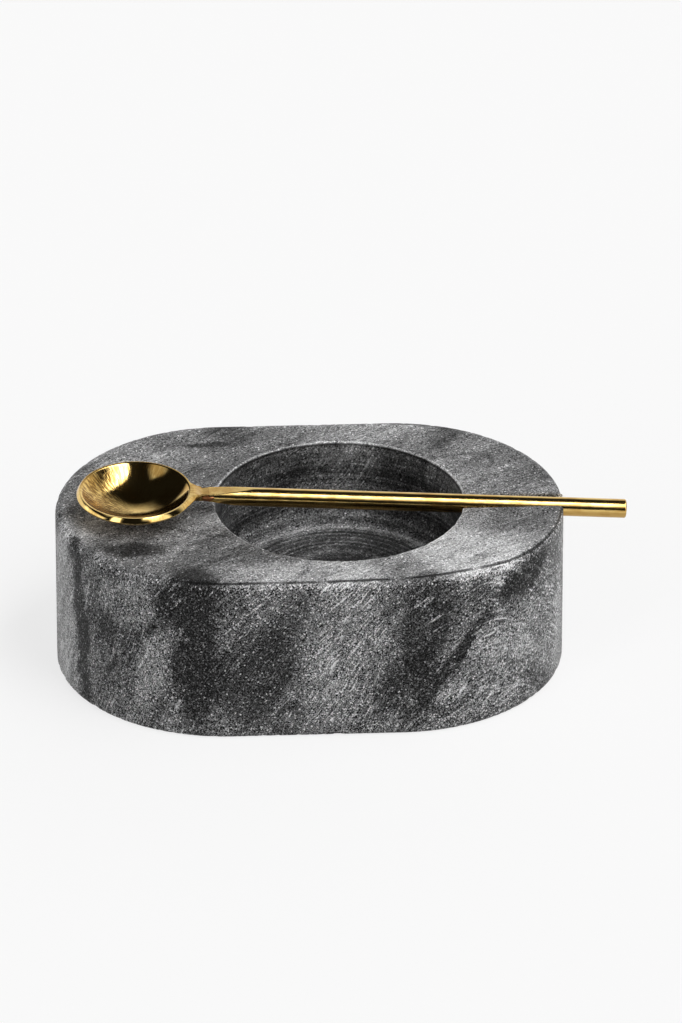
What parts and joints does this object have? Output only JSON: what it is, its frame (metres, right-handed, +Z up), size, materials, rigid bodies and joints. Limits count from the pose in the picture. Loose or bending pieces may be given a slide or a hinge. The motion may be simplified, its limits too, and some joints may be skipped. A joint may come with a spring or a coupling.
{
  "type": "salt cellar",
  "caption": "Stone block with half-round ends, a round salt well and a rim groove, with a loose brass spoon lying across it.",
  "frame": {"origin": "centre of the block's flat base, on the surface it stands on", "axes": "+X along the block towards the groove and the spoon's handle, +Y to the back, +Z up"},
  "size_m": [0.1349, 0.08, 0.0482],
  "materials": {
    "grey_marble": "honed",
    "brass": "polished"
  },
  "bodies": {
    "base": {"marble_block": "grey_marble"},
    "spoon": {"spoon_bowl": "brass", "spoon_handle": "brass"}
  },
  "joints": [
    {"name": "spoon_lift", "type": "slide", "parent": "base", "child": "spoon", "axis": [0, 0, 1], "range_m": [0, 0.06]}
  ]
}
